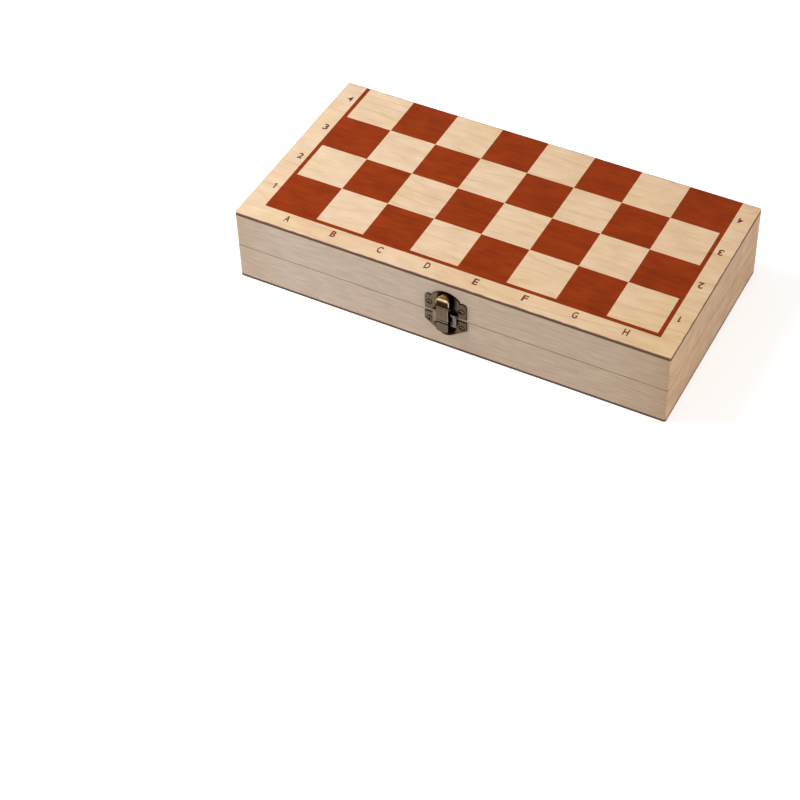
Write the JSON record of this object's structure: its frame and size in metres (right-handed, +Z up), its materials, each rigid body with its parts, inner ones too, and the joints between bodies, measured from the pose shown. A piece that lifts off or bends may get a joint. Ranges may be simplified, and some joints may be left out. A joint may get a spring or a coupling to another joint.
{
  "type": "folding chess box",
  "caption": "Flat wooden box whose two hinged halves carry a stained chessboard on their backs, shut by a small toggle latch.",
  "frame": {"origin": "middle of the face that the shut box rests on", "axes": "+X along the files from A to H, +Y from the latch to the hinges, +Z up through the lid"},
  "size_m": [0.269, 0.1441, 0.0484],
  "materials": {
    "maple_veneer": "clear satin lacquer on pale maple",
    "red_stain": "red-brown stain under satin lacquer",
    "panel_core": "plywood with a charred brown edge and a bare inner face, matte",
    "frame_wood": "grey-beige wood, fine straight grain, satin",
    "latch_bronze": "antiqued bronze, worn to brass on raised edges",
    "latch_screw": "steel with a dull bronze plating",
    "hinge_brass": "plain brass plate",
    "pin_steel": "plain steel"
  },
  "bodies": {
    "base": {"base_panel": "panel_core", "base_veneer": "maple_veneer", "base_stain": "red_stain", "base_front_wall": "frame_wood", "base_rear_wall": "frame_wood", "base_left_wall": "frame_wood", "base_right_wall": "frame_wood", "keeper_plate": "latch_bronze", "keeper_screws": "latch_screw", "base_leaf_left": "hinge_brass", "base_leaf_right": "hinge_brass", "base_leaf_screws": "hinge_brass", "hinge_pin_left": "pin_steel", "hinge_pin_right": "pin_steel"},
    "lid": {"lid_panel": "panel_core", "lid_veneer": "maple_veneer", "lid_stain": "red_stain", "lid_front_wall": "frame_wood", "lid_rear_wall": "frame_wood", "lid_left_wall": "frame_wood", "lid_right_wall": "frame_wood", "lid_leaf_left": "hinge_brass", "lid_leaf_right": "hinge_brass", "lid_leaf_screws": "hinge_brass", "latch_plate": "latch_bronze", "latch_plate_screws": "latch_screw", "lever_pin": "pin_steel"},
    "lever": {"latch_lever": "latch_bronze", "strap_pin": "pin_steel"},
    "strap": {"latch_strap": "latch_bronze"}
  },
  "joints": [
    {"name": "lid_hinge", "type": "hinge", "parent": "base", "child": "lid", "pos_m": [0, 0.0686, 0.0242], "axis": [-1, 0, 0], "range_deg": [0, 180]},
    {"name": "latch_lever_hinge", "type": "hinge", "parent": "lid", "child": "lever", "pos_m": [0, -0.07245, 0.0337], "axis": [-1, 0, 0], "range_deg": [0, 115]},
    {"name": "latch_strap_hinge", "type": "hinge", "parent": "lever", "child": "strap", "pos_m": [0, -0.0705, 0.0283], "axis": [-1, 0, 0], "range_deg": [-115, 0]}
  ],
  "couplings": [
    {"joint": "latch_strap_hinge", "follows": "latch_lever_hinge", "ratio": -1}
  ]
}
